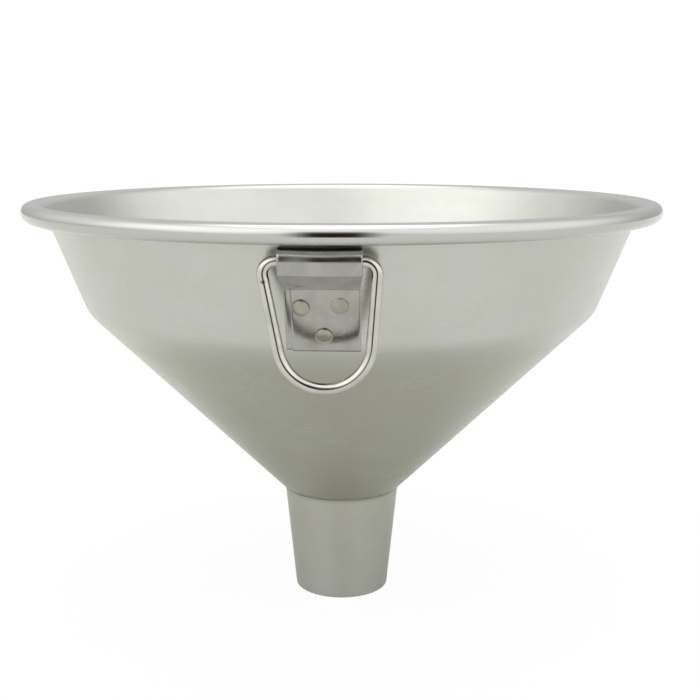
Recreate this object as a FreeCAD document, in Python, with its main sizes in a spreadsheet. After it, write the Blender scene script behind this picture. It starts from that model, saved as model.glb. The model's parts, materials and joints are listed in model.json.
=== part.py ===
import FreeCAD, Part
import math
import os

import Sketcher

# Canning funnel: a spun steel bowl with a rolled rim, a tapered spout welded under it, and a
# wire ring that hangs from a folded strap riveted to the bowl's front.
#
# Frame: millimetres, +Z up. The origin is the centre of the spout's open end, the funnel's axis
# is the Z axis, and the strap and the ring are on the -Y side. The ring is modelled hanging
# straight down, and swings about its own bar, which lies along X inside the strap's loop.

os.makedirs("parts", exist_ok=True)
doc = FreeCAD.newDocument("canning_funnel")
V = FreeCAD.Vector

# ---------------------------------------------------------------- driving dimensions
# Angles are in degrees, everything else in millimetres.
DIMENSIONS = [
    # funnel body
    ("height_total", 131.2, "spout end to the rim's top"),
    ("steel", 0.6, "thickness of every sheet"),
    ("rim_radius", 100.0, "outside of the rolled rim"),
    ("rim_depth", 5.2, "height of the rolled rim"),
    ("curl_radius", 2.5, "outer corners of the roll"),
    ("flare_radius", 3.2, "top of the wall, turning out into the rim"),
    ("hem_radius", 94.0, "innermost reach of the rolled edge, outside face"),
    ("hem_bend", 1.1, "last bend of the rolled edge"),
    ("hem_rise", 1.5, "how far the rolled edge turns back up"),
    ("wall_radius", 94.08, "outside of the band, carried up to the rim's top"),
    ("band_depth", 33.55, "rim's top to the bend between band and cone"),
    ("band_angle", 20.7, "band from the vertical"),
    ("bend_radius", 10.0, "inside of the bend between band and cone"),
    ("cone_depth", 62.8, "bend to the neck"),
    ("cone_angle", 44.82, "cone from the vertical"),
    # neck and spout
    ("neck_bend", 0.5, "outside of the bend at the neck"),
    ("collar_length", 6.0, "turned-down collar inside the spout"),
    ("spout_taper", 5.7, "spout from the vertical"),
    ("seam_gap", 0.05, "between sheets that lie on each other"),
    ("weld_leg", 0.9, "leg of the weld under the cone"),
    # strap
    ("hinge_drop", 9.3, "rim's top down to the ring's bar"),
    ("loop_width", 20.8, "strap at its loop"),
    ("loop_depth", 4.6, "loop from back to front"),
    ("loop_above", 3.15, "top of the loop above the bar, along the wall"),
    ("loop_back_bend", 1.3, "outer corner of the loop at the wall"),
    ("loop_front_bend", 3.2, "outer corner of the loop away from the wall"),
    ("loop_fold", 3.0, "bar down to the fold under the loop's front"),
    ("fold_radius", 0.9, "outside of that fold"),
    ("leaf_top", 8.2, "bar down to where the front leaf lies flat"),
    ("leaf_blend", 2.5, "outside of the blend onto the front leaf"),
    ("leaf_bottom", 26.5, "bar down to the strap's ends"),
    ("leaf_gap", 0.1, "between the two leaves"),
    ("leaf_left", 9.5, "left edge of the back leaf"),
    ("leaf_right", 9.7, "right edge of both leaves"),
    ("front_leaf_left", 7.9, "left edge of the front leaf"),
    ("trim_margin", 1.0, "how far a trimming outline runs past the strip"),
    ("trim_cut", 20.0, "length of the cut that trims the strip's edges"),
    # rivets
    ("rivet_left_side", 5.3, "left rivet from the strap's middle"),
    ("rivet_left_drop", 13.7, "bar down to the left rivet"),
    ("rivet_right_side", 4.5, "right rivet from the strap's middle"),
    ("rivet_right_drop", 12.9, "bar down to the right rivet"),
    ("rivet_low_side", 0.35, "lower rivet, right of the strap's middle"),
    ("rivet_low_drop", 21.9, "bar down to the lower rivet"),
    ("rivet_hole", 2.5, "hole diameter"),
    ("rivet_cut", 6.0, "length of the cut that makes a hole"),
    ("rivet_shank", 2.4, "shank diameter"),
    ("rivet_head", 4.5, "head diameter, outside"),
    ("rivet_head_height", 0.7, "head height, outside"),
    ("rivet_tail", 4.0, "head diameter inside the bowl"),
    ("rivet_tail_height", 0.6, "head height inside the bowl"),
    ("rivet_tail_seat", 1.05, "strap's seat on the wall to the inner head's face"),
    ("rivet_edge", 0.25, "rounding of the outer head"),
    # ring
    ("ring_wire", 2.9, "wire diameter"),
    ("ring_left", 14.7, "left leg's line where it meets the bar's axis"),
    ("ring_right", 14.2, "right leg's line where it meets the bar's axis"),
    ("ring_left_lean", 11.1, "left leg from the vertical"),
    ("ring_right_lean", 4.1, "right leg from the vertical"),
    ("ring_corner", 3.2, "centreline radius of the upper corners"),
    ("ring_bow", 11.63, "centreline radius of the lower bow"),
]

dims = doc.addObject("Spreadsheet::Sheet", "dims")
for row, (alias, value, note) in enumerate(DIMENSIONS, start=1):
    dims.set("A%d" % row, alias)
    dims.set("B%d" % row, str(value))
    dims.set("C%d" % row, note)
    dims.setAlias("B%d" % row, alias)
doc.recompute()


def size(expression):
    """The number that an expression on the sheet gives."""
    return float(dims.evalExpression(expression))


# ---------------------------------------------------------------- sketch helpers
def plane_of(body, role):
    """The body's own origin plane with this role."""
    return next(item for item in body.Origin.OriginFeatures if item.Role == role)


def new_body(name):
    body = doc.addObject("PartDesign::Body", name)
    body.Label = name
    return body


def new_sketch(body, name, role):
    sketch = body.newObject("Sketcher::SketchObject", name)
    sketch.AttachmentSupport = [(plane_of(body, role), "")]
    sketch.MapMode = "FlatFace"
    return sketch


def bind(sketch, constraint, expression):
    """Add a constraint and drive it from the sheet."""
    index = sketch.addConstraint(constraint)
    sketch.setExpression("Constraints[%d]" % index, expression)


def pin_point(sketch, geometry, point, corner):
    """Hold one point of the sketch at the corner's two expressions."""
    across, up = corner
    bind(sketch, Sketcher.Constraint("DistanceX", -1, 1, geometry, point, size(across)), across)
    bind(sketch, Sketcher.Constraint("DistanceY", -1, 1, geometry, point, size(up)), up)


def rounded_loop(sketch, corners):
    """Draw a closed outline. Each corner is (across, up) or (across, up, radius), as expressions."""
    count = len(corners)
    points = [V(size(corner[0]), size(corner[1]), 0) for corner in corners]
    starts = list(points)
    ends = list(points)
    arcs = {}
    for i, corner in enumerate(corners):
        if len(corner) < 3:
            continue
        radius = size(corner[2])
        back = (points[i - 1] - points[i]).normalize()
        ahead = (points[(i + 1) % count] - points[i]).normalize()
        half = back.getAngle(ahead) / 2
        ends[i] = points[i] + back * (radius / math.tan(half))
        starts[i] = points[i] + ahead * (radius / math.tan(half))
        centre = points[i] + (back + ahead).normalize() * (radius / math.sin(half))
        middle = centre + (points[i] - centre).normalize() * radius
        arcs[i] = Part.Arc(ends[i], middle, starts[i])
    lines = [sketch.addGeometry(Part.LineSegment(starts[i], ends[(i + 1) % count]), False)
             for i in range(count)]
    for i, corner in enumerate(corners):
        before, after = lines[i - 1], lines[i]
        if i not in arcs:
            sketch.addConstraint(Sketcher.Constraint("Coincident", before, 2, after, 1))
            pin_point(sketch, after, 1, corner[:2])
            continue
        arc = sketch.addGeometry(arcs[i], False)
        first, last = nearest_ends(sketch, arc, ends[i])
        sketch.addConstraint(Sketcher.Constraint("Tangent", before, 2, arc, first))
        sketch.addConstraint(Sketcher.Constraint("Tangent", arc, last, after, 1))
        bind(sketch, Sketcher.Constraint("Radius", arc, size(corner[2])), corner[2])
        vertex = sketch.addGeometry(Part.Point(points[i]), True)
        sketch.addConstraint(Sketcher.Constraint("PointOnObject", vertex, 1, before))
        sketch.addConstraint(Sketcher.Constraint("PointOnObject", vertex, 1, after))
        pin_point(sketch, vertex, 1, corner[:2])


def nearest_ends(sketch, arc, point):
    """Which end of an arc (1 or 2) is at the point, and which is the other."""
    if sketch.getPoint(arc, 1).distanceToPoint(point) < sketch.getPoint(arc, 2).distanceToPoint(point):
        return 1, 2
    return 2, 1


def circles(sketch, centres, diameter):
    """Draw one circle of a bound diameter at each bound centre."""
    for across, up in centres:
        middle = V(size(across), size(up), 0)
        circle = sketch.addGeometry(Part.Circle(middle, V(0, 0, 1), size(diameter) / 2), False)
        bind(sketch, Sketcher.Constraint("Diameter", circle, size(diameter)), diameter)
        pin_point(sketch, circle, 3, (across, up))


def revolve(body, sketch):
    """Spin the sketch a full turn about its own vertical axis."""
    turned = body.newObject("PartDesign::Revolution", body.Name + "_spun")
    turned.Profile = sketch
    turned.ReferenceAxis = (sketch, ["V_Axis"])
    turned.Angle = 360


def cut(body, sketch, name, length):
    """Cut the sketch through the body, the same distance to both sides of its plane."""
    before = body.Shape.Volume
    pocket = body.newObject("PartDesign::Pocket", name)
    pocket.Profile = sketch
    pocket.SideType = "Symmetric"
    pocket.setExpression("Length", length)
    doc.recompute()
    if body.Shape.Volume >= before:
        raise RuntimeError(name + " cuts nothing")


# ---------------------------------------------------------------- levels shared by the parts
HEIGHT = "dims.height_total"
BEND_RADIUS = "(dims.wall_radius - dims.band_depth * tan(dims.band_angle))"
BEND_LEVEL = "(dims.height_total - dims.band_depth)"
NECK_RADIUS = "(%s - dims.cone_depth * tan(dims.cone_angle))" % BEND_RADIUS
NECK_LEVEL = "(%s - dims.cone_depth)" % BEND_LEVEL
SPOUT_END = "(%s - %s * tan(dims.spout_taper))" % (NECK_RADIUS, NECK_LEVEL)

# The strap's seat is the point of the band's outside straight behind the ring's bar.
BAR_OUT = "(dims.loop_depth / 2 + dims.seam_gap)"
SEAT_LEVEL = "(dims.height_total - dims.hinge_drop + %s * sin(dims.band_angle))" % BAR_OUT
SEAT_RADIUS = "(dims.wall_radius - (dims.height_total - %s) * tan(dims.band_angle))" % SEAT_LEVEL
BAR_RADIUS = "(%s + %s * cos(dims.band_angle))" % (SEAT_RADIUS, BAR_OUT)
BAR_LEVEL = "(dims.height_total - dims.hinge_drop)"

RIVET_CENTRES = [
    ("-dims.rivet_left_side", "-dims.rivet_left_drop"),
    ("dims.rivet_right_side", "-dims.rivet_right_drop"),
    ("dims.rivet_low_side", "-dims.rivet_low_drop"),
]


def inset(radius, level, low_angle, high_angle, distance):
    """Move the corner between two leaning sheets inwards by a distance square to both."""
    mean = "(%s + %s) / 2" % (low_angle, high_angle)
    spread = "cos((%s - %s) / 2)" % (low_angle, high_angle)
    return (
        "(%s - %s * cos(%s) / %s)" % (radius, distance, mean, spread),
        "(%s + %s * sin(%s) / %s)" % (level, distance, mean, spread),
    )


def lay_on_band(body, across="0", up="0"):
    """Lean a body with the band, its origin this far across and up the wall from the strap's seat."""
    tilt = FreeCAD.Rotation(V(1, 0, 0), size("dims.band_angle"))
    body.Placement = FreeCAD.Placement(V(0, 0, 0), tilt)
    body.setExpression("Placement.Rotation.Angle", "dims.band_angle")
    body.setExpression("Placement.Base.x", across)
    body.setExpression("Placement.Base.y", "-%s - (%s) * sin(dims.band_angle)" % (SEAT_RADIUS, up))
    body.setExpression("Placement.Base.z", "%s + (%s) * cos(dims.band_angle)" % (SEAT_LEVEL, up))


# ---------------------------------------------------------------- bowl
def make_bowl():
    """Band, cone, rolled rim and the collar that enters the spout: one spun sheet."""
    body = new_body("funnel_bowl")
    sketch = new_sketch(body, "bowl_section", "XZ_Plane")
    steel = "dims.steel"
    band, cone, taper = "dims.band_angle", "dims.cone_angle", "dims.spout_taper"
    # the collar's outside is one sheet and one gap inside the spout's outside
    collar_inset = "(dims.steel + dims.seam_gap)"
    reach = "(%s / cos(%s))" % (collar_inset, taper)
    neck_drop = "(%s / (tan(%s) - tan(%s)))" % (reach, cone, taper)
    neck_out = (
        "(%s - %s * tan(%s))" % (NECK_RADIUS, neck_drop, cone),
        "(%s - %s)" % (NECK_LEVEL, neck_drop),
    )
    neck_in = inset(neck_out[0], neck_out[1], taper, cone, steel)
    bend_in = inset(BEND_RADIUS, BEND_LEVEL, cone, band, steel)
    collar_end = "(%s - dims.collar_length)" % neck_out[1]
    collar_out = "(%s - dims.collar_length * tan(%s))" % (neck_out[0], taper)
    collar_in = "(%s - dims.steel / cos(%s))" % (collar_out, taper)
    wall_in = "(dims.wall_radius - dims.steel / cos(%s))" % band
    wall_under = "(dims.wall_radius - dims.steel * tan(%s))" % band
    rim_bottom = "(dims.height_total - dims.rim_depth)"
    rounded_loop(sketch, [
        (collar_in, collar_end),
        (neck_in[0], neck_in[1], "dims.neck_bend + dims.steel"),
        (bend_in[0], bend_in[1], "dims.bend_radius"),
        (wall_in, HEIGHT, "dims.flare_radius"),
        ("dims.rim_radius", HEIGHT, "dims.curl_radius"),
        ("dims.rim_radius", rim_bottom, "dims.curl_radius"),
        ("dims.hem_radius", rim_bottom, "dims.hem_bend"),
        ("dims.hem_radius", rim_bottom + " + dims.hem_rise"),
        ("dims.hem_radius + dims.steel", rim_bottom + " + dims.hem_rise"),
        ("dims.hem_radius + dims.steel", rim_bottom + " + dims.steel", "dims.hem_bend - dims.steel"),
        ("dims.rim_radius - dims.steel", rim_bottom + " + dims.steel", "dims.curl_radius - dims.steel"),
        ("dims.rim_radius - dims.steel", HEIGHT + " - dims.steel", "dims.curl_radius - dims.steel"),
        (wall_under, HEIGHT + " - dims.steel", "dims.flare_radius - dims.steel"),
        (BEND_RADIUS, BEND_LEVEL, "dims.bend_radius + dims.steel"),
        (neck_out[0], neck_out[1], "dims.neck_bend"),
        (collar_out, collar_end),
    ])
    revolve(body, sketch)
    doc.recompute()
    holes = new_sketch(body, "bowl_rivet_holes", "XZ_Plane")
    tilt = FreeCAD.Rotation(V(1, 0, 0), size("dims.band_angle"))
    holes.AttachmentOffset = FreeCAD.Placement(V(0, size(SEAT_LEVEL), size(SEAT_RADIUS)), tilt)
    holes.setExpression("AttachmentOffset.Rotation.Angle", "dims.band_angle")
    holes.setExpression("AttachmentOffset.Base.y", SEAT_LEVEL)
    holes.setExpression("AttachmentOffset.Base.z", SEAT_RADIUS)
    circles(holes, RIVET_CENTRES, "dims.rivet_hole")
    cut(body, holes, "bowl_holes", "dims.rivet_cut")
    return body


# ---------------------------------------------------------------- spout
def make_spout():
    """Tapered tube, cut square below and mitred above to meet the cone, with its weld."""
    body = new_body("spout")
    sketch = new_sketch(body, "spout_section", "XZ_Plane")
    cone, taper = "dims.cone_angle", "dims.spout_taper"
    wall = "(dims.steel / cos(%s))" % taper
    drop = "(dims.seam_gap / sin(%s))" % cone
    # the inner face runs up until it meets the cone's underside
    inner_drop = "(%s / (tan(%s) - tan(%s)) + %s)" % (wall, cone, taper, drop)
    inner_top = (
        "%s - %s - %s * tan(%s)" % (NECK_RADIUS, wall, inner_drop, taper),
        "%s - %s" % (NECK_LEVEL, inner_drop),
    )
    weld_low = (
        "%s - dims.weld_leg * sin(%s)" % (NECK_RADIUS, taper),
        "%s - dims.weld_leg * cos(%s)" % (NECK_LEVEL, taper),
    )
    weld_high = (
        "%s + dims.weld_leg * sin(%s)" % (NECK_RADIUS, cone),
        "%s + dims.weld_leg * cos(%s) - %s" % (NECK_LEVEL, cone, drop),
    )
    inner_end = ("%s - %s" % (SPOUT_END, wall), "0")
    rounded_loop(sketch, [inner_end, (SPOUT_END, "0"), weld_low, weld_high, inner_top])
    revolve(body, sketch)
    return body


# ---------------------------------------------------------------- strap
def make_strap():
    """One strip folded into a loop round the ring's bar, its two leaves flat on the band."""
    body = new_body("ring_bracket")
    section = new_sketch(body, "strap_section", "YZ_Plane")
    back = "dims.seam_gap"
    front = "(dims.seam_gap + dims.loop_depth)"
    leaf = "(dims.seam_gap + 2 * dims.steel + dims.leaf_gap)"
    slope = "atan((%s - %s) / (dims.leaf_top - dims.loop_fold))" % (front, leaf)
    lift = "dims.steel * tan(%s / 2)" % slope
    top = "dims.loop_above"
    rounded_loop(section, [
        ("-" + back, "-dims.leaf_bottom"),
        ("-" + back, top, "dims.loop_back_bend"),
        ("-" + front, top, "dims.loop_front_bend"),
        ("-" + front, "-dims.loop_fold", "dims.fold_radius"),
        ("-" + leaf, "-dims.leaf_top", "dims.leaf_blend"),
        ("-" + leaf, "-dims.leaf_bottom"),
        ("-%s + dims.steel" % leaf, "-dims.leaf_bottom"),
        ("-%s + dims.steel" % leaf, "-dims.leaf_top + " + lift, "dims.leaf_blend + dims.steel"),
        ("-%s + dims.steel" % front, "-dims.loop_fold + " + lift, "dims.fold_radius - dims.steel"),
        ("-%s + dims.steel" % front, top + " - dims.steel", "dims.loop_front_bend - dims.steel"),
        ("-%s - dims.steel" % back, top + " - dims.steel", "dims.loop_back_bend - dims.steel"),
        ("-%s - dims.steel" % back, "-dims.leaf_bottom"),
    ])
    strip = body.newObject("PartDesign::Pad", "strap_strip")
    strip.Profile = section
    strip.SideType = "Symmetric"
    strip.setExpression("Length", "dims.loop_width")
    doc.recompute()

    below = "-dims.leaf_bottom - dims.trim_margin"
    for side, edge in (("-", "leaf_left"), ("", "leaf_right")):
        outside = side + "(dims.loop_width / 2 + dims.trim_margin)"
        shoulder = side + "(dims.loop_width / 2)"
        inside = side + "dims." + edge
        trim = new_sketch(body, edge + "_trim", "XZ_Plane")
        rounded_loop(trim, [
            (outside, "-dims.loop_fold"),
            (shoulder, "-dims.loop_fold"),
            (inside, "-dims.leaf_top"),
            (inside, below),
            (outside, below),
        ])
        cut(body, trim, edge + "_edge", "dims.trim_cut")

    # the front leaf is narrower on its left, and shows a strip of the back leaf
    step = new_sketch(body, "front_leaf_trim", "XZ_Plane")
    step.setExpression("AttachmentOffset.Base.z", leaf)
    rounded_loop(step, [
        ("-dims.loop_width / 2", "-dims.leaf_top - dims.leaf_gap"),
        ("-dims.front_leaf_left", "-dims.leaf_top - dims.leaf_gap"),
        ("-dims.front_leaf_left", below),
        ("-dims.loop_width / 2", below),
    ])
    cut(body, step, "front_leaf_edge", "2 * dims.steel + dims.leaf_gap")

    holes = new_sketch(body, "strap_rivet_holes", "XZ_Plane")
    circles(holes, RIVET_CENTRES, "dims.rivet_hole")
    cut(body, holes, "strap_holes", "dims.rivet_cut")
    lay_on_band(body)
    return body


# ---------------------------------------------------------------- rivets
def make_rivet(number, across, up):
    """A flat outer head, a shank through both leaves and the wall, and a head inside the bowl."""
    body = new_body("rivet_%d" % number)
    sketch = new_sketch(body, "rivet_section_%d" % number, "XY_Plane")
    shank, head, tail = "dims.rivet_shank / 2", "dims.rivet_head / 2", "dims.rivet_tail / 2"
    seat = "-(dims.seam_gap + 2 * dims.steel + dims.leaf_gap + dims.seam_gap)"
    crown = seat + " - dims.rivet_head_height"
    tail_face = "dims.rivet_tail_seat"
    tail_end = "dims.rivet_tail_seat + dims.rivet_tail_height"
    rounded_loop(sketch, [
        ("0", crown),
        (head, crown, "dims.rivet_edge"),
        (head, seat),
        (shank, seat),
        (shank, tail_face),
        (tail, tail_face),
        (tail, tail_end, "dims.rivet_edge"),
        ("0", tail_end),
    ])
    revolve(body, sketch)
    lay_on_band(body, across, up)
    return body


def make_rivets():
    """The three like rivets, kept as one group of separate solids."""
    group = doc.addObject("Part::Compound", "rivets")
    group.Label = "rivets"
    group.Links = [make_rivet(number, across, up)
                   for number, (across, up) in enumerate(RIVET_CENTRES, start=1)]
    return group


# ---------------------------------------------------------------- ring
def make_ring():
    """Closed wire ring: a bar through the strap's loop, two uneven legs and a round bow."""
    body = new_body("hanging_ring")
    apex_depth = ("((dims.ring_left + dims.ring_right)"
                  " / (tan(dims.ring_left_lean) + tan(dims.ring_right_lean)))")
    path = new_sketch(body, "ring_path", "XZ_Plane")
    apex_across = "dims.ring_right - %s * tan(dims.ring_right_lean)" % apex_depth
    rounded_loop(path, [
        ("-dims.ring_left", "0", "dims.ring_corner"),
        ("dims.ring_right", "0", "dims.ring_corner"),
        (apex_across, "-" + apex_depth, "dims.ring_bow"),
    ])
    section = new_sketch(body, "wire_section", "YZ_Plane")
    circles(section, [("0", "0")], "dims.ring_wire")
    wire = body.newObject("PartDesign::AdditivePipe", "ring_wire")
    wire.Profile = section
    wire.Spine = path
    body.setExpression("Placement.Base.y", "-" + BAR_RADIUS)
    body.setExpression("Placement.Base.z", BAR_LEVEL)
    return body


# ---------------------------------------------------------------- build, check, write
nodes = [make_bowl(), make_spout(), make_strap(), make_rivets(), make_ring()]
doc.recompute()

failed = [item.Name for item in doc.Objects if "Invalid" in item.State or "Error" in item.State]
if failed:
    raise RuntimeError("failed objects: " + ", ".join(failed))
for node in nodes:
    if node.Shape.isNull() or not node.Shape.isValid() or not node.Shape.Solids:
        raise RuntimeError("bad shape: " + node.Label)
    node.Shape.exportStep(os.path.join("parts", node.Label + ".step"))
    extent = node.Shape.BoundBox
    print("%-14s %d solid(s) %9.1f mm3  x %.2f %.2f  y %.2f %.2f  z %.2f %.2f" % (
        node.Label, len(node.Shape.Solids), node.Shape.Volume,
        extent.XMin, extent.XMax, extent.YMin, extent.YMax, extent.ZMin, extent.ZMax))
print("ring bar at y %.3f z %.3f" % (-size(BAR_RADIUS), size(BAR_LEVEL)))
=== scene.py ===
import json
import math

import bmesh
import bpy
from mathutils import Matrix, Vector, noise


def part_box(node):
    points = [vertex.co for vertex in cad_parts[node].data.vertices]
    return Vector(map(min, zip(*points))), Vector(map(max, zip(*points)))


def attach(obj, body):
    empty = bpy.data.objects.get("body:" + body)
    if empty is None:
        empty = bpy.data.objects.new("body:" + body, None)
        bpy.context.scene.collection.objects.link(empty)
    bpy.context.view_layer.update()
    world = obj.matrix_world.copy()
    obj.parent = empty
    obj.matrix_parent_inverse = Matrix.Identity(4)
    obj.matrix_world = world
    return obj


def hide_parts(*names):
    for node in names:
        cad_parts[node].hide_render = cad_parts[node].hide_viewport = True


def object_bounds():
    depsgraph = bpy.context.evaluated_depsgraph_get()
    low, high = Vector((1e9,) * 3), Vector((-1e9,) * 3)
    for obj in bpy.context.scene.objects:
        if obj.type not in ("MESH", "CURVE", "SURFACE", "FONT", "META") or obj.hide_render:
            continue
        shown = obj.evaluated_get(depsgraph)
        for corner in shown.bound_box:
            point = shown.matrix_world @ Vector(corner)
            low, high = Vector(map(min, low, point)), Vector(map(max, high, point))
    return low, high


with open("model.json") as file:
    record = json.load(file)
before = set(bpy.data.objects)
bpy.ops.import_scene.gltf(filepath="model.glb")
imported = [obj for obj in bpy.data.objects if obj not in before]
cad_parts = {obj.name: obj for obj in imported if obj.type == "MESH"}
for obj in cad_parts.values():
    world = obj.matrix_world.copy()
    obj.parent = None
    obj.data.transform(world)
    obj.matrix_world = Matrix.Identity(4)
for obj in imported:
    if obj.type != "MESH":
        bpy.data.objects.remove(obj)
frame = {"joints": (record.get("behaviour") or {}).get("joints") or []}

# Canning funnel: the finished look of the spun bowl, its spout, the folded strap, the three
# rivets and the wire ring. Metres, +Z up, the spout's open end at the origin, strap and ring
# on the -Y side. Every CAD piece is replaced by a smoother mesh of the same size and place.

MM = 0.001
cad_low, cad_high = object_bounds()

# ---------------------------------------------------------------- sizes from the frame
_, bowl_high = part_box("funnel_bowl")
spout_low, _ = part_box("spout")
_, strap_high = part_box("ring_bracket")
swing = next(joint for joint in frame["joints"] if joint["name"] == "ring_swing")
BAR = Vector(swing["pos_m"])

HEIGHT = bowl_high.z
RIM_RADIUS = bowl_high.x
LOOP_HALF = strap_high.x

# ---------------------------------------------------------------- sizes of the sheet work
STEEL = 0.6 * MM
EDGE = 0.14 * MM                    # rounding of a cut edge
SEAM_GAP = 0.05 * MM
RIM_DEPTH = 5.2 * MM
CURL_RADIUS = 2.5 * MM
FLARE_RADIUS = 3.2 * MM
HEM_RADIUS = 94.0 * MM
HEM_BEND = 1.1 * MM
HEM_RISE = 1.5 * MM
WALL_RADIUS = 94.08 * MM
BAND_DEPTH = 33.55 * MM
BAND_ANGLE = math.radians(20.7)
BEND_RADIUS = 10.0 * MM
CONE_DEPTH = 62.8 * MM
CONE_ANGLE = math.radians(44.82)
NECK_BEND = 0.5 * MM
COLLAR_LENGTH = 6.0 * MM
SPOUT_TAPER = math.radians(5.7)
WELD_LEG = 0.9 * MM
WELD_TOE = 1.3                      # the weld's reach up the cone, in legs
WELD_RIPPLE = 0.05 * MM
WELD_RIPPLES = 420                  # per metre

POLISH_EARLY = 0.5 * MM             # the rim's polish begins this far before the roll
POLISH_BLEND = (1.0 * MM, 2.0 * MM)  # and is full here outwards and upwards
CONE_SHADE_FROM, CONE_SHADE_FULL = 1.0 * MM, 7.0 * MM   # painted shade on the cone: starts and is full this far below the bend
SPOUT_SHADE = (-0.2, 0.9)         # painted shade on the spout towards the neck: from and full at, in heights of the neck

LOOP_DEPTH = 4.6 * MM
LOOP_ABOVE = 3.15 * MM
LOOP_BACK_BEND = 1.3 * MM
LOOP_FRONT_BEND = 3.2 * MM
LOOP_FOLD = 3.0 * MM
FOLD_RADIUS = 0.9 * MM
LEAF_TOP = 8.2 * MM
LEAF_BLEND = 2.5 * MM
LEAF_BOTTOM = 26.5 * MM
LEAF_GAP = 0.1 * MM
LEAF_LEFT = 9.5 * MM
LEAF_RIGHT = 9.7 * MM
FRONT_LEAF_LEFT = 7.9 * MM

LEAF_STEP = 0.45 * MM               # height of the step in the front leaf's left edge
STRIP_EDGE = 0.26 * MM              # rounding of the strip's long edges

PILLOW = (2.4 * MM, -10.3 * MM)     # the front leaf swells between its rivets
PILLOW_HEIGHT = 0.6 * MM
PILLOW_REACH = (7.5 * MM, 5.0 * MM)
PRESS_REACH = 2.6 * MM              # and is pressed flat round them
PRESS = {"rivet_left": 1.0, "rivet_right": 0.5, "rivet_low": 0.5}
DENTS = (                           # the loop's front is beaten in a little at its ends
    (-8.5 * MM, 0.8 * MM, 0.24 * MM),
    (8.5 * MM, 0.8 * MM, 0.15 * MM),
)
DENT_REACH = (4.5 * MM, 1.7 * MM)

RIVETS = {
    "rivet_left": (-5.3 * MM, -13.7 * MM),
    "rivet_right": (4.5 * MM, -12.9 * MM),
    "rivet_low": (0.35 * MM, -21.9 * MM),
}
SHANK_RADIUS = 1.2 * MM
HEAD_RADIUS = 2.25 * MM
HEAD_HEIGHT = 0.7 * MM
HEAD_EDGE = 0.25 * MM
HEAD_FALL = 0.12 * MM               # the crown's middle over its edge
CROWN_FLAT = 0.55                   # share of the head's radius that is flat
CROWN_ROUND = 3.0 * MM
TAIL_RADIUS = 2.0 * MM
TAIL_HEIGHT = 0.6 * MM
TAIL_SEAT = 1.05 * MM

WIRE_RADIUS = 1.45 * MM
RING_LEFT = 14.7 * MM
RING_RIGHT = 14.2 * MM
RING_LEFT_LEAN = math.radians(11.1)
RING_RIGHT_LEAN = math.radians(4.1)
RING_CORNER = 3.2 * MM
RING_BOW = 11.63 * MM
JOINT_DROP = 5.1 * MM               # pit at the wire's joint, below the bar on the left leg
JOINT_WIDTH = 0.55 * MM             # along the wire, either side of its middle
JOINT_SPREAD = 0.45                 # round the wire, as a share of its radius
JOINT_DEPTH = 0.03 * MM
PIT_DARK = 0.6                      # depth, as a share of JOINT_DEPTH, where it is fully dark
RING_BACK_SHADE = 0.42                    # how dark the wire's hidden side is painted, as painted shade
BACK_SHADE_FROM, BACK_SHADE_FULL = -0.1, 0.6    # painted shade grows between these, in wire radii behind its middle

# ---------------------------------------------------------------- mesh fineness
AROUND = 288                        # sides of the bowl and spout
AROUND_RIVET = 64
AROUND_WIRE = 32
ACROSS_STRAP = 36
ARC_STEP = math.radians(7.5)
LONGEST_RUN = 5.0 * MM
SMALL_RUN = 0.5 * MM                # on the strap and rivets
WIRE_RUN = 0.25 * MM
WIRE_STEP = math.radians(4)

# Where the strap sits: the point of the band's outside straight behind the bar, and axes
# across the strap, out of the wall and up the wall.
bar_out = LOOP_DEPTH / 2 + SEAM_GAP
ACROSS = Vector((1, 0, 0))
OUT = Vector((0, -math.cos(BAND_ANGLE), -math.sin(BAND_ANGLE)))
UP = Vector((0, -math.sin(BAND_ANGLE), math.cos(BAND_ANGLE)))
SEAT = BAR - OUT * bar_out


def on_wall(across, out, up):
    """A place near the strap: metres across it, out of the wall and up the wall."""
    return SEAT + ACROSS * across + OUT * out + UP * up


# ---------------------------------------------------------------- outlines
def rounded(corners, closed=False, step=ARC_STEP, longest=LONGEST_RUN):
    """Points along a line of corners, each (x, y) or (x, y, radius)."""
    spots = [Vector(corner[:2]) for corner in corners]
    last = len(corners) - 1
    pieces = []
    for i, corner in enumerate(corners):
        spot = spots[i]
        if len(corner) < 3 or (not closed and i in (0, last)):
            pieces.append([spot])
            continue
        back = (spots[i - 1] - spot).normalized()
        ahead = (spots[(i + 1) % len(spots)] - spot).normalized()
        half = back.angle(ahead) / 2
        centre = spot + (back + ahead).normalized() * (corner[2] / math.sin(half))
        start = spot + back * (corner[2] / math.tan(half)) - centre
        turn = math.pi - 2 * half
        if back.cross(ahead) > 0:
            turn = -turn
        count = max(2, math.ceil(abs(turn) / step))
        pieces.append([centre + Matrix.Rotation(turn * k / count, 2) @ start
                       for k in range(count + 1)])
    points = []
    for i, piece in enumerate(pieces):
        points += piece
        if not closed and i == last:
            break
        begin, end = piece[-1], pieces[(i + 1) % len(pieces)][0]
        count = max(1, math.ceil((end - begin).length / longest))
        points += [begin.lerp(end, k / count) for k in range(1, count)]
    return points


def sides(points, closed=False):
    """The unit vector to the left of the line at each of its points."""
    count = len(points)
    result = []
    for i, point in enumerate(points):
        before = points[i - 1] if closed or i else point
        after = points[(i + 1) % count] if closed or i < count - 1 else point
        into = (point - before).normalized() if before != point else Vector((0, 0))
        away = (after - point).normalized() if after != point else Vector((0, 0))
        along = (into + away).normalized()
        result.append(Vector((-along.y, along.x)))
    return result


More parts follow.
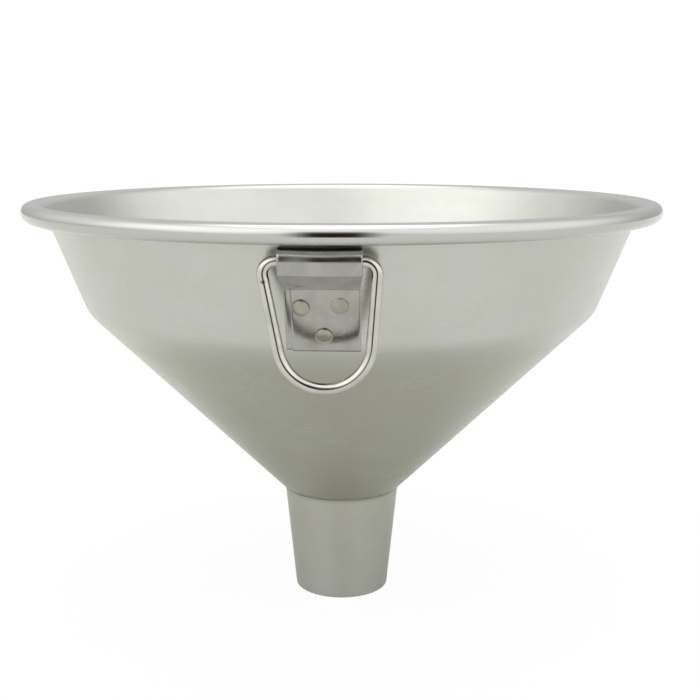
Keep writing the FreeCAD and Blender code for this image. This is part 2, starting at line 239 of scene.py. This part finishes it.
def sheet_outline(points, thickness):
    """Close a line into a sheet's section, its second face to the left, with rounded ends."""
    lefts = sides(points)
    second = [point + left * thickness for point, left in zip(points, lefts)]
    nose = []
    for end, sign in ((-1, 1), (0, -1)):
        along = Vector((lefts[end].y, -lefts[end].x)) * sign
        middle = points[end] + lefts[end] * (thickness / 2)
        nose.append([middle + along * EDGE + lefts[end] * (thickness * share)
                     for share in (-0.3, 0.0, 0.3)])
    return list(points) + nose[0] + second[::-1] + nose[1][::-1]


# ---------------------------------------------------------------- meshes
def finish_mesh(name, vertices, faces, coordinates, body, slot_name, nodes, materials):
    """Make a smooth piece with a UV map of (turns, metres along), and hand it to the frame."""
    mesh = bpy.data.meshes.new(name)
    mesh.from_pydata(vertices, [], faces)
    layer = mesh.uv_layers.new(name="run")
    for polygon, corners in zip(mesh.polygons, coordinates):
        for loop, spot in zip(polygon.loop_indices, corners):
            layer.data[loop].uv = spot
    welded = bmesh.new()
    welded.from_mesh(mesh)
    bmesh.ops.remove_doubles(welded, verts=welded.verts, dist=MM / 10000)
    welded.to_mesh(mesh)
    welded.free()
    mesh.polygons.foreach_set("use_smooth", [True] * len(mesh.polygons))
    piece = bpy.data.objects.new(name, mesh)
    bpy.context.scene.collection.objects.link(piece)
    for item in materials:
        mesh.materials.append(item)
    piece.modifiers.new("even_normals", "WEIGHTED_NORMAL").keep_sharp = True
    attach(piece, body)
    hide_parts(*nodes)
    return piece


def store(piece, name, values):
    """Keep a number for each of the piece's vertices, for its material to read."""
    piece.data.attributes.new(name, "FLOAT", "POINT").data.foreach_set("value", values)


def ramp(value, start, end):
    """0 at start, 1 at end, held beyond them."""
    return min(1.0, max(0.0, (value - start) / (end - start)))


def lengths_along(points, closed):
    """Distance from the first point to each point, and for a closed line back to the first."""
    total = 0.0
    result = [0.0]
    ahead = points[1:] + (points[:1] if closed else [])
    for here, there in zip(points, ahead):
        total += (there - here).length
        result.append(total)
    return result


def lathe(name, outline, around, place, closed=True, **handing):
    """Spin an outline of (radius, height); place turns a spot into the frame. An open outline
    starts and ends on the axis."""
    along = lengths_along(outline, closed)
    count = len(outline)
    vertices = []
    for k in range(around):
        angle = 2 * math.pi * k / around
        for spot in outline:
            vertices.append(place(spot.x * math.cos(angle), spot.x * math.sin(angle), spot.y))
    faces = []
    coordinates = []
    for k in range(around):
        here, there = k * count, (k + 1) % around * count
        for i in range(count if closed else count - 1):
            j = (i + 1) % count
            faces.append((here + i, there + i, there + j, here + j))
            low, high = k / around, (k + 1) / around
            coordinates.append([(low, along[i]), (high, along[i]),
                                (high, along[i + 1]), (low, along[i + 1])])
    return finish_mesh(name, vertices, faces, coordinates, **handing)


def loft(name, rings, along, closed, **handing):
    """Join rings of points, in a closed loop or capped at both ends."""
    count = len(rings[0])
    vertices = [spot for ring in rings for spot in ring]
    faces = []
    coordinates = []
    for k in range(len(rings) if closed else len(rings) - 1):
        here, there = k * count, (k + 1) % len(rings) * count
        for i in range(count):
            j = (i + 1) % count
            faces.append((here + i, here + j, there + j, there + i))
            low, high = i / count, (i + 1) / count
            coordinates.append([(low, along[k]), (high, along[k]),
                                (high, along[k + 1]), (low, along[k + 1])])
    if not closed:
        for ring, order in ((0, -1), (len(rings) - 1, 1)):
            faces.append([ring * count + i for i in range(count)][::order])
            coordinates.append([(i / count, along[ring]) for i in range(count)][::order])
    return finish_mesh(name, vertices, faces, coordinates, **handing)


# ---------------------------------------------------------------- finishes
# Colours are linear reflectance, roughness runs from 0 (mirror) to 1 (matt), noise scales are
# per metre and bump depths are in metres.
RIM_POLISHED = (0.535, 0.535, 0.51, 1)
SPUN_PAINTED_SHADE = (0.86, 0.86, 0.80, 1)        # painted shade on the cone and the spout's top; multiplies the colour
# painted shade on the wire's hidden side, and the dark mark at its joint; multiplies the colour
WIRE_PAINTED_SHADE_AND_JOINT = (0.06, 0.057, 0.05, 1)
GREENER = (0.985, 1.0, 0.955)               # multiplies the warm colour in places
LATHE_LINES = (2.5, 5200, 3.0)              # round the axis, along the section, detail
LATHE_BANDS = (0.6, 420, 2.0)
PATCH_SCALE, TINT_SCALE = 38, 95
PATCH_BUMP, BAND_BUMP, LINE_BUMP = 0.000008, 0.0000009, 0.00000045
SMUDGE_SCALE, WAVE_SCALE, SCRATCH_SCALE = 170, 60, 260
SCRATCH_RUNS = ((0.35, 30.0), (-0.6, 22.0), (1.35, 26.0))    # tilt in radians, stretch
WAVE_BUMP = 0.00005
SCRATCH_HAZE, SHADE_MARK_HAZE = 0.08, 0.15        # roughness they add


# ---------------------------------------------------------------- materials
def add(tree, kind, inputs=None, **settings):
    """Add a node; an input's value is a number or colour, or another node's output."""
    made = tree.nodes.new(kind)
    for key, value in settings.items():
        setattr(made, key, value)
    for key, value in (inputs or {}).items():
        if isinstance(value, bpy.types.NodeSocket):
            tree.links.new(value, made.inputs[key])
        else:
            made.inputs[key].default_value = value
    return made


def math_node(tree, operation, *values):
    return add(tree, "ShaderNodeMath", dict(enumerate(values)), operation=operation).outputs[0]


def vector_math(tree, operation, *values):
    inputs = dict(enumerate(values))
    return add(tree, "ShaderNodeVectorMath", inputs, operation=operation).outputs[0]


def clouds(tree, vector, scale, detail=2.0, rough=0.5):
    """Smooth noise between about 0.3 and 0.7."""
    inputs = {"Vector": vector, "Scale": scale, "Detail": detail, "Roughness": rough}
    return add(tree, "ShaderNodeTexNoise", inputs).outputs[0]


def spread(tree, value, low, high, out_low, out_high):
    """Stretch a value from one range to another, held at both ends."""
    inputs = {0: value, 1: low, 2: high, 3: out_low, 4: out_high}
    return add(tree, "ShaderNodeMapRange", inputs, interpolation_type="SMOOTHSTEP").outputs[0]


def blend_colour(tree, share, first, second):
    inputs = {0: share, 6: first, 7: second}
    return add(tree, "ShaderNodeMix", inputs, data_type="RGBA").outputs[2]


def start_metal(name):
    """A metal with nothing on it yet."""
    made = bpy.data.materials.new(name)
    made.use_nodes = True
    shader = made.node_tree.nodes["Principled BSDF"]
    shader.inputs["Metallic"].default_value = 1.0
    return made, made.node_tree, shader


def add_bump(tree, shader, layers):
    """Stack bumps, coarse to fine, each (height, depth in metres)."""
    normal = None
    for height, depth in layers:
        inputs = {"Height": height, "Distance": depth, "Strength": 1.0}
        if normal:
            inputs["Normal"] = normal
        normal = add(tree, "ShaderNodeBump", inputs).outputs[0]
    tree.links.new(normal, shader.inputs["Normal"])


def painted_shade(tree, colour, tint):
    """Darken a colour by a tint where the piece keeps a painted shade value (on the wire also the
    dark mark at its joint); also gives that value.
    """
    amount = add(tree, "ShaderNodeAttribute", attribute_name="painted_shade_and_joint").outputs["Fac"]
    inputs = {0: amount, 6: colour, 7: tint}
    darker = add(tree, "ShaderNodeMix", inputs, data_type="RGBA", blend_type="MULTIPLY").outputs[2]
    return darker, amount


def spun_steel(name, bright, warm, rough_satin, rough_polished):
    """Satin steel turned on a lathe: lines round the axis, faint clouds, burnished rim."""
    made, tree, shader = start_metal(name)
    spot = add(tree, "ShaderNodeTexCoord").outputs["Object"]
    run = add(tree, "ShaderNodeUVMap", uv_map="run").outputs[0]
    along = add(tree, "ShaderNodeSeparateXYZ", {0: run}).outputs[1]
    round_axis = vector_math(tree, "NORMALIZE", vector_math(tree, "MULTIPLY", spot, (1, 1, 0)))
    height = add(tree, "ShaderNodeCombineXYZ", {2: along}).outputs[0]

    def lines(turns, per_metre, detail):
        """Noise drawn out round the axis."""
        flat = vector_math(tree, "SCALE", round_axis)
        flat.node.inputs["Scale"].default_value = turns
        tall = vector_math(tree, "SCALE", height)
        tall.node.inputs["Scale"].default_value = per_metre
        return clouds(tree, vector_math(tree, "ADD", flat, tall), 1.0, detail)

    fine = lines(*LATHE_LINES)
    bands = lines(*LATHE_BANDS)
    patches = clouds(tree, spot, PATCH_SCALE, 3.0, 0.55)
    tint = clouds(tree, spot, TINT_SCALE, 2.0, 0.5)
    polish = add(tree, "ShaderNodeAttribute", attribute_name="polish").outputs["Fac"]

    tone = math_node(tree, "ADD", math_node(tree, "MULTIPLY", fine, 0.35),
                     math_node(tree, "MULTIPLY", patches, 0.65))
    colour = blend_colour(tree, spread(tree, tone, 0.35, 0.65, 0, 1), bright, warm)
    greener = tuple(part * factor for part, factor in zip(warm[:3], GREENER)) + (1,)
    colour = blend_colour(tree, spread(tree, tint, 0.42, 0.62, 0, 0.5), colour, greener)
    # Painted shade: the cone darker below the bend, the spout darker towards the neck.
    colour, _ = painted_shade(tree, colour, SPUN_PAINTED_SHADE)
    colour = blend_colour(tree, polish, colour, RIM_POLISHED)
    tree.links.new(colour, shader.inputs["Base Color"])

    satin = math_node(tree, "ADD", spread(tree, bands, 0.3, 0.7, -0.01, 0.01),
                      spread(tree, patches, 0.3, 0.7, rough_satin - 0.02, rough_satin + 0.02))
    satin = math_node(tree, "ADD", satin, spread(tree, fine, 0.3, 0.7, -0.015, 0.015))
    rough = add(tree, "ShaderNodeMix", {0: polish, 2: satin, 3: rough_polished}).outputs[0]
    tree.links.new(rough, shader.inputs["Roughness"])
    shader.inputs["Anisotropic"].default_value = 0.6
    shader.inputs["Anisotropic Rotation"].default_value = 0.25
    tangent = add(tree, "ShaderNodeTangent", direction_type="RADIAL", axis="Z").outputs[0]
    tree.links.new(tangent, shader.inputs["Tangent"])
    add_bump(tree, shader, [(patches, PATCH_BUMP), (bands, BAND_BUMP), (fine, LINE_BUMP)])
    return made


def sheet_steel(name, tone, dull, rough, scratch_depth):
    """Bright rolled sheet or wire, with fine straight scratches and a few smudges."""
    made, tree, shader = start_metal(name)
    spot = add(tree, "ShaderNodeTexCoord").outputs["Object"]
    smudge = clouds(tree, spot, SMUDGE_SCALE, 3.0, 0.6)
    broad = clouds(tree, spot, WAVE_SCALE, 2.0, 0.5)
    scratches = []
    for number, (tilt, stretch) in enumerate(SCRATCH_RUNS):
        turned = add(tree, "ShaderNodeMapping", {
            "Vector": spot,
            "Location": (0.01 * number, 0.02, 0.03 * number),
            "Rotation": (0.36, tilt, 0.0),
            "Scale": (1.0, 1.0, stretch),
        }).outputs[0]
        scratches.append(clouds(tree, turned, SCRATCH_SCALE, 2.0, 0.5))
    marks = scratches[0]
    for other in scratches[1:]:
        marks = math_node(tree, "MAXIMUM", marks, other)
    marks = spread(tree, marks, 0.6, 0.8, 0, 1)
    colour = blend_colour(tree, spread(tree, smudge, 0.4, 0.65, 0, 1), tone, dull)
    # Painted shade on the wire's hidden side and the dark mark at its joint, where the piece keeps
    # that value; it also roughens them.
    colour, shade_marks = painted_shade(tree, colour, WIRE_PAINTED_SHADE_AND_JOINT)
    tree.links.new(colour, shader.inputs["Base Color"])
    grey = math_node(tree, "ADD", spread(tree, smudge, 0.35, 0.7, rough - 0.02, rough + 0.06),
                     math_node(tree, "MULTIPLY", marks, SCRATCH_HAZE))
    grey = math_node(tree, "MULTIPLY_ADD", shade_marks, SHADE_MARK_HAZE, grey)
    tree.links.new(grey, shader.inputs["Roughness"])
    add_bump(tree, shader, [(broad, WAVE_BUMP), (marks, scratch_depth)])
    return made


# Main colour, second colour, roughness, and the polished rim's roughness or the scratches' depth.
bowl_steel = spun_steel(
    "spun_bowl_steel", (0.575, 0.575, 0.545, 1), (0.545, 0.55, 0.51, 1), 0.30, 0.12)
spout_steel = spun_steel(
    "spun_spout_steel", (0.585, 0.585, 0.565, 1), (0.55, 0.555, 0.525, 1), 0.36, 0.3)
strap_steel = sheet_steel(
    "bright_strap_steel", (0.41, 0.41, 0.385, 1), (0.365, 0.365, 0.34, 1), 0.15, 0.000002)
ring_steel = sheet_steel(
    "bright_wire_steel", (0.61, 0.60, 0.555, 1), (0.54, 0.53, 0.485, 1), 0.12, 0.000001)
rivet_steel = sheet_steel(
    "dull_rivet_steel", (0.39, 0.385, 0.325, 1), (0.34, 0.335, 0.275, 1), 0.26, 0.000003)


# ---------------------------------------------------------------- bowl
def upright(x, y, z):
    return Vector((x, y, z))


bend = Vector((WALL_RADIUS - BAND_DEPTH * math.tan(BAND_ANGLE), HEIGHT - BAND_DEPTH))
neck = Vector((bend.x - CONE_DEPTH * math.tan(CONE_ANGLE), bend.y - CONE_DEPTH))


def make_bowl():
    """Collar, cone, band, flared top and rolled rim in one spun sheet."""
    neck_reach = (STEEL + SEAM_GAP) / math.cos(SPOUT_TAPER)
    neck_drop = neck_reach / (math.tan(CONE_ANGLE) - math.tan(SPOUT_TAPER))
    collar_top = neck - Vector((neck_drop * math.tan(CONE_ANGLE), neck_drop))
    collar_end = collar_top - Vector((COLLAR_LENGTH * math.tan(SPOUT_TAPER), COLLAR_LENGTH))
    under = HEIGHT - RIM_DEPTH + STEEL
    outside = rounded([
        tuple(collar_end),
        (*collar_top, NECK_BEND),
        (*bend, BEND_RADIUS + STEEL),
        (WALL_RADIUS - STEEL * math.tan(BAND_ANGLE), HEIGHT - STEEL, FLARE_RADIUS - STEEL),
        (RIM_RADIUS - STEEL, HEIGHT - STEEL, CURL_RADIUS - STEEL),
        (RIM_RADIUS - STEEL, under, CURL_RADIUS - STEEL),
        (HEM_RADIUS + STEEL, under, HEM_BEND - STEEL),
        (HEM_RADIUS + STEEL, HEIGHT - RIM_DEPTH + HEM_RISE),
    ])
    bowl = lathe("funnel_bowl_spun", sheet_outline(outside, STEEL), AROUND, upright, body="funnel",
                 slot_name="bowl_steel", nodes=["funnel_bowl"], materials=[bowl_steel])
    spots = [(vertex.co.xy.length, vertex.co.z) for vertex in bowl.data.vertices]
    outwards, upwards = POLISH_BLEND
    rim_start = HEIGHT - RIM_DEPTH - POLISH_EARLY
    store(bowl, "polish", [min(ramp(radius, HEM_RADIUS - POLISH_EARLY, HEM_RADIUS + outwards),
                               ramp(z, rim_start, rim_start + upwards)) for radius, z in spots])
    # Painted shade: the cone darker and warmer below the bend.
    store(bowl, "painted_shade_and_joint", [ramp(z, bend.y - CONE_SHADE_FROM, bend.y - CONE_SHADE_FULL)
                            for _, z in spots])
    return bowl


# ---------------------------------------------------------------- spout
def make_spout():
    """Tapered tube, mitred to the cone above, with its narrow weld."""
    wall = STEEL / math.cos(SPOUT_TAPER)
    end = neck.x - neck.y * math.tan(SPOUT_TAPER)
    gap = SEAM_GAP / math.sin(CONE_ANGLE)
    inner_drop = wall / (math.tan(CONE_ANGLE) - math.tan(SPOUT_TAPER)) + gap
    turn = CONE_ANGLE - SPOUT_TAPER
    fillet = WELD_LEG / math.tan(turn / 2)
    toe = WELD_TOE * WELD_LEG
    outline = rounded([
        (end - wall, spout_low.z, EDGE),
        (end, spout_low.z, EDGE),
        (neck.x, neck.y - gap, fillet),
        (neck.x + toe * math.sin(CONE_ANGLE), neck.y + toe * math.cos(CONE_ANGLE) - gap),
        (neck.x - wall - inner_drop * math.tan(SPOUT_TAPER), neck.y - inner_drop),
    ], closed=True)
    spout = lathe("spout_tube", outline, AROUND, upright, body="funnel", slot_name="spout_steel",
                  nodes=["spout"], materials=[spout_steel])
    for vertex in spout.data.vertices:
        flat = vertex.co.xy
        if vertex.co.z < neck.y - WELD_LEG or flat.length < neck.x - wall / 2:
            continue
        ripple = noise.noise(Vector((flat.x, flat.y, 0)) * WELD_RIPPLES) * WELD_RIPPLE
        vertex.co.xy = flat * (1 + ripple / flat.length)
    # Painted shade: the spout darker towards the neck, under the cone.
    begin, full = (share * neck.y for share in SPOUT_SHADE)
    store(spout, "painted_shade_and_joint", [ramp(vertex.co.z, begin, full) for vertex in spout.data.vertices])
    return spout


# ---------------------------------------------------------------- strap
def strap_edges(up, out):
    """Left and right edge of the strap at a height up the wall and a distance out of it."""
    narrow = min(1.0, max(0.0, (-up - LOOP_FOLD) / (LEAF_TOP - LOOP_FOLD)))
    left = -LOOP_HALF + (LOOP_HALF - LEAF_LEFT) * narrow
    right = LOOP_HALF - (LOOP_HALF - LEAF_RIGHT) * narrow
    in_front = out > SEAM_GAP + STEEL
    if in_front and up < -LEAF_TOP:
        step = min(1.0, (-up - LEAF_TOP) / LEAF_STEP)
        left += (LEAF_LEFT - FRONT_LEAF_LEFT) * step
    return left, right


def hill(across, up, centre, reach):
    """A smooth mound, 1 at its centre."""
    return math.exp(-((across - centre[0]) / reach[0]) ** 2 - ((up - centre[1]) / reach[1]) ** 2)


def leaf_swell(across, up):
    """How far the front leaf stands out between its rivets, in metres."""
    swell = PILLOW_HEIGHT * hill(across, up, PILLOW, PILLOW_REACH)
    for rivet, share in PRESS.items():
        swell *= 1 - share * hill(across, up, RIVETS[rivet], (PRESS_REACH, PRESS_REACH))
    return swell


def loop_dent(across, up):
    """How far the loop's front is beaten in, in metres."""
    return sum(depth * hill(across, up, (x, y), DENT_REACH) for x, y, depth in DENTS)


def make_strap():
    """One strip bent round the ring's bar, its two leaves flat on the band."""
    front = SEAM_GAP + LOOP_DEPTH
    leaf = SEAM_GAP + 2 * STEEL + LEAF_GAP
    path = rounded([
        (SEAM_GAP, -LEAF_BOTTOM),
        (SEAM_GAP, LOOP_ABOVE, LOOP_BACK_BEND),
        (front, LOOP_ABOVE, LOOP_FRONT_BEND),
        (front, -LOOP_FOLD, FOLD_RADIUS),
        (leaf, -LEAF_TOP, LEAF_BLEND),
        (leaf, -LEAF_BOTTOM),
    ], longest=SMALL_RUN)
    lefts = sides(path)
    corner_angles = [math.radians(angle) for angle in (90, 60, 30, 0)]
    rings = []
    for number, (spot, left) in enumerate(zip(path, lefts)):
        end_pull = EDGE * 0.6 if number in (0, len(path) - 1) else 0.0
        low, high = strap_edges(spot.y, spot.x)
        low, high = low + end_pull, high - end_pull
        inward = -left                      # the hidden face is to the right of the path
        outer = [(low + STRIP_EDGE + (high - low - 2 * STRIP_EDGE) * k / ACROSS_STRAP, end_pull)
                 for k in range(ACROSS_STRAP + 1)]
        right_edge = [(high - STRIP_EDGE * (1 - math.cos(a)), STRIP_EDGE * (1 - math.sin(a)))
                      for a in corner_angles[1:]]
        inner_turn = [(x, STEEL - depth) for x, depth in right_edge[::-1]]
        inner = [(x, STEEL - depth) for x, depth in outer[::-1]]
        left_edge = [(low + STRIP_EDGE * (1 - math.cos(a)), STEEL - STRIP_EDGE * (1 - math.sin(a)))
                     for a in corner_angles[1:]]
        left_turn = [(x, STEEL - depth) for x, depth in left_edge[::-1]]
        ring = []
        for x, depth in outer + right_edge + inner_turn + inner + left_edge + left_turn:
            place = spot + inward * depth
            in_front = place.x > front / 2 or place.y < -LOOP_FOLD and number > len(path) // 2
            swell = leaf_swell(x, place.y) - loop_dent(x, place.y) if in_front else 0.0
            ring.append(on_wall(x, place.x + swell, place.y))
        rings.append(ring)
    along = lengths_along(path, False)
    return loft("ring_bracket_folded", rings, along, False, body="funnel",
                slot_name="bracket_steel", nodes=["ring_bracket"], materials=[strap_steel])


# ---------------------------------------------------------------- rivets
def make_rivet(name, across, up):
    """Low flat head outside, shank, and a head inside the bowl."""
    crown = SEAM_GAP * 2 + 2 * STEEL + LEAF_GAP + HEAD_HEIGHT
    outline = rounded([
        (0, crown),
        (HEAD_RADIUS * CROWN_FLAT, crown, CROWN_ROUND),
        (HEAD_RADIUS, crown - HEAD_FALL, HEAD_EDGE),
        (HEAD_RADIUS, crown - HEAD_HEIGHT, EDGE / 2),
        (SHANK_RADIUS, crown - HEAD_HEIGHT),
        (SHANK_RADIUS, -TAIL_SEAT),
        (TAIL_RADIUS, -TAIL_SEAT, EDGE),
        (TAIL_RADIUS, -TAIL_SEAT - TAIL_HEIGHT, HEAD_EDGE),
        (0, -TAIL_SEAT - TAIL_HEIGHT),
    ], longest=SMALL_RUN)

    def place(x, y, z):
        return on_wall(across + x, z, up - y)

    return lathe(name, outline, AROUND_RIVET, place, closed=False, body="funnel",
                 slot_name="rivet_steel", nodes=["rivets"], materials=[rivet_steel])


# ---------------------------------------------------------------- ring
def make_ring():
    """Closed wire: a bar through the strap's loop, two uneven legs and a round bow."""
    apex_depth = (RING_LEFT + RING_RIGHT) / (math.tan(RING_LEFT_LEAN) + math.tan(RING_RIGHT_LEAN))
    apex_across = RING_RIGHT - apex_depth * math.tan(RING_RIGHT_LEAN)
    path = rounded([
        (-RING_LEFT, 0, RING_CORNER),
        (RING_RIGHT, 0, RING_CORNER),
        (apex_across, -apex_depth, RING_BOW),
    ], closed=True, step=WIRE_STEP, longest=WIRE_RUN)
    lefts = sides(path, closed=True)
    rings = []
    shade_marks = []
    for spot, left in zip(path, lefts):
        on_left_leg = spot.x < 0 and spot.y < -RING_CORNER
        near_joint = 1 - abs(spot.y + JOINT_DROP) / JOINT_WIDTH if on_left_leg else 0.0
        ring = []
        for k in range(AROUND_WIRE):
            angle = 2 * math.pi * k / AROUND_WIRE
            in_front = 1 - abs(math.cos(angle)) / JOINT_SPREAD if math.sin(angle) < 0 else 0.0
            pit = max(0.0, near_joint) * max(0.0, in_front)
            radius = WIRE_RADIUS - JOINT_DEPTH * pit
            flat = spot + left * (radius * math.cos(angle))
            ring.append(BAR + Vector((flat.x, radius * math.sin(angle), flat.y)))
            # Painted shade on the wire's side towards the wall, and the dark pit at its joint.
            hidden = ramp(math.sin(angle), BACK_SHADE_FROM, BACK_SHADE_FULL)
            shade_marks.append(max(RING_BACK_SHADE * hidden, ramp(pit, 0.0, PIT_DARK)))
        rings.append(ring)
    wire = loft("hanging_ring_wire", rings, lengths_along(path, True), True, body="ring",
                slot_name="ring_steel", nodes=["hanging_ring"], materials=[ring_steel])
    store(wire, "painted_shade_and_joint", shade_marks)
    return wire


make_bowl()
make_spout()
make_strap()
for rivet_name, (rivet_across, rivet_up) in RIVETS.items():
    make_rivet(rivet_name, rivet_across, rivet_up)
make_ring()


# ---------------------------------------------------------------- floor, light and camera
def direction(azimuth, elevation):
    """Unit vector from the funnel towards a bearing; 0 is the front, 90 the funnel's right."""
    turn, rise = math.radians(azimuth), math.radians(elevation)
    return Vector((math.sin(turn) * math.cos(rise), -math.cos(turn) * math.cos(rise),
                   math.sin(rise)))


FLOOR_HALF = 4.0
FLOOR_GAP = 0.05 * MM
PAPER = (0.67, 0.67, 0.65, 1)
PAPER_SHINE = 0.9                   # share of plain white in what the camera sees of the floor
WHITE = (1, 1, 1, 1)
BACKDROP = 1.03                     # brightness of the plain white behind the funnel

floor_mesh = bpy.data.meshes.new("studio_floor")
floor_mesh.from_pydata([(-FLOOR_HALF, -FLOOR_HALF, 0), (FLOOR_HALF, -FLOOR_HALF, 0),
                        (FLOOR_HALF, FLOOR_HALF, 0), (-FLOOR_HALF, FLOOR_HALF, 0)],
                       [], [(0, 1, 2, 3)])
floor = bpy.data.objects.new("studio_floor", floor_mesh)
floor.location.z = cad_low.z - FLOOR_GAP
bpy.context.scene.collection.objects.link(floor)
paper = bpy.data.materials.new("white_paper")
paper.use_nodes = True
paper_tree = paper.node_tree
paper_tree.nodes.clear()
matt = add(paper_tree, "ShaderNodeBsdfDiffuse", {"Color": PAPER}).outputs[0]
glow = add(paper_tree, "ShaderNodeEmission", {"Color": WHITE, "Strength": BACKDROP}).outputs[0]
seen = add(paper_tree, "ShaderNodeLightPath").outputs["Is Camera Ray"]
share = math_node(paper_tree, "MULTIPLY", seen, PAPER_SHINE)
blend = add(paper_tree, "ShaderNodeMixShader", {0: share, 1: matt, 2: glow}).outputs[0]
add(paper_tree, "ShaderNodeOutputMaterial", {"Surface": blend})
floor_mesh.materials.append(paper)

# Soft light from all round: a pale room with broad glows, each (bearing, height, bright out to,
# faded by, strength), angles in degrees. Only the room's plain white is seen behind the funnel.
ROOM = 0.73
ROOM_LOW = 0.56                     # at the horizon, rising to ROOM at ROOM_RISE
ROOM_RISE = 0.5                     # a direction's upward share
GLOWS = {
    "window": (-43, 33, 10, 60, 1.02),
    "second_window": (62, 33, 25, 75, 0.66),
    "side_wall": (-102, 30, 10, 50, 0.40),
    "ceiling": (180, 84, 12, 34, 1.6),
    "back_wall": (-175, 38, 10, 40, 0.12),
    "dim_corner": (3, 37, 6, 26, -0.12),
}
world = bpy.data.worlds.new("soft_room")
world.use_nodes = True
room_tree = world.node_tree
room_tree.nodes.clear()
bearing = add(room_tree, "ShaderNodeTexCoord").outputs["Generated"]
level = add(room_tree, "ShaderNodeSeparateXYZ", {0: bearing}).outputs[2]
light = spread(room_tree, level, 0.0, ROOM_RISE, ROOM_LOW, ROOM)
for azimuth, elevation, bright, faded, strength in GLOWS.values():
    inputs = {0: bearing, 1: tuple(direction(azimuth, elevation))}
    aim = add(room_tree, "ShaderNodeVectorMath", inputs, operation="DOT_PRODUCT").outputs["Value"]
    off = math_node(room_tree, "ARCCOSINE", aim)
    glow_here = spread(room_tree, off, math.radians(bright), math.radians(faded), strength, 0.0)
    light = math_node(room_tree, "ADD", light, glow_here)
lit = add(room_tree, "ShaderNodeBackground", {"Color": WHITE, "Strength": light}).outputs[0]
plain = add(room_tree, "ShaderNodeBackground", {"Color": WHITE, "Strength": BACKDROP}).outputs[0]
seen = add(room_tree, "ShaderNodeLightPath").outputs["Is Camera Ray"]
room = add(room_tree, "ShaderNodeMixShader", {0: seen, 1: lit, 2: plain}).outputs[0]
add(room_tree, "ShaderNodeOutputWorld", {"Surface": room})
bpy.context.scene.world = world

# The dark shape that polished parts show: whoever stands at the camera. Solid out to CARD_SOLID
# either side of CARD_MIDDLE and from CARD_KNEE up to CARD_WAIST, gone by CARD_SIDE, CARD_FOOT
# and CARD_TOP.
CARD_MIDDLE, CARD_SOLID, CARD_SIDE, CARD_BACK = 0.007, 0.028, 0.095, -0.335
CARD_FOOT, CARD_KNEE, CARD_WAIST, CARD_TOP = 0.015, 0.055, 0.165, 0.360
CLOTH = (0.026, 0.0125, 0.008, 1)
card_mesh = bpy.data.meshes.new("dark_card")
card_mesh.from_pydata([(CARD_MIDDLE - CARD_SIDE, CARD_BACK, CARD_FOOT),
                       (CARD_MIDDLE + CARD_SIDE, CARD_BACK, CARD_FOOT),
                       (CARD_MIDDLE + CARD_SIDE, CARD_BACK, CARD_TOP),
                       (CARD_MIDDLE - CARD_SIDE, CARD_BACK, CARD_TOP)], [], [(3, 2, 1, 0)])
card = bpy.data.objects.new("dark_card", card_mesh)
bpy.context.scene.collection.objects.link(card)
card.visible_camera = False
card.visible_diffuse = False
card.visible_shadow = False
cloth = bpy.data.materials.new("dark_cloth")
cloth.use_nodes = True
cloth_tree = cloth.node_tree
cloth_tree.nodes.clear()
on_card = add(cloth_tree, "ShaderNodeTexCoord").outputs["Object"]
card_x, _, card_z = add(cloth_tree, "ShaderNodeSeparateXYZ", {0: on_card}).outputs
aside = math_node(cloth_tree, "ABSOLUTE", math_node(cloth_tree, "SUBTRACT", card_x, CARD_MIDDLE))
solid = math_node(cloth_tree, "MULTIPLY", spread(cloth_tree, aside, CARD_SOLID, CARD_SIDE, 1, 0),
                  spread(cloth_tree, card_z, CARD_WAIST, CARD_TOP, 1, 0))
solid = math_node(cloth_tree, "MULTIPLY", solid,
                  spread(cloth_tree, card_z, CARD_FOOT, CARD_KNEE, 0, 1))
clear = add(cloth_tree, "ShaderNodeBsdfTransparent").outputs[0]
dark = add(cloth_tree, "ShaderNodeBsdfDiffuse", {"Color": CLOTH}).outputs[0]
seen_cloth = add(cloth_tree, "ShaderNodeMixShader", {0: solid, 1: clear, 2: dark}).outputs[0]
add(cloth_tree, "ShaderNodeOutputMaterial", {"Surface": seen_cloth})
card_mesh.materials.append(cloth)

CAMERA_BEARING = math.radians(3.25)
CAMERA_DISTANCE = 0.353
CAMERA_HEIGHT = 0.1528
CAMERA_DIP = math.radians(11.48)
CAMERA_LENS, CAMERA_FRAME = 55.7, 36.0      # millimetres
CAMERA_SHIFT = 0.0119
CAMERA_NEAR = 0.01
camera_data = bpy.data.cameras.new("camera")
camera_data.lens = CAMERA_LENS
camera_data.sensor_width = CAMERA_FRAME
camera_data.shift_x = CAMERA_SHIFT
camera_data.clip_start = CAMERA_NEAR
camera = bpy.data.objects.new("camera", camera_data)
camera.location = (CAMERA_DISTANCE * math.sin(CAMERA_BEARING),
                   -CAMERA_DISTANCE * math.cos(CAMERA_BEARING), CAMERA_HEIGHT)
camera.rotation_euler = (math.pi / 2 - CAMERA_DIP, 0, CAMERA_BEARING)
bpy.context.scene.collection.objects.link(camera)
bpy.context.scene.camera = camera
bpy.context.scene.view_settings.view_transform = "Standard"
bpy.context.scene.cycles.use_denoising = True
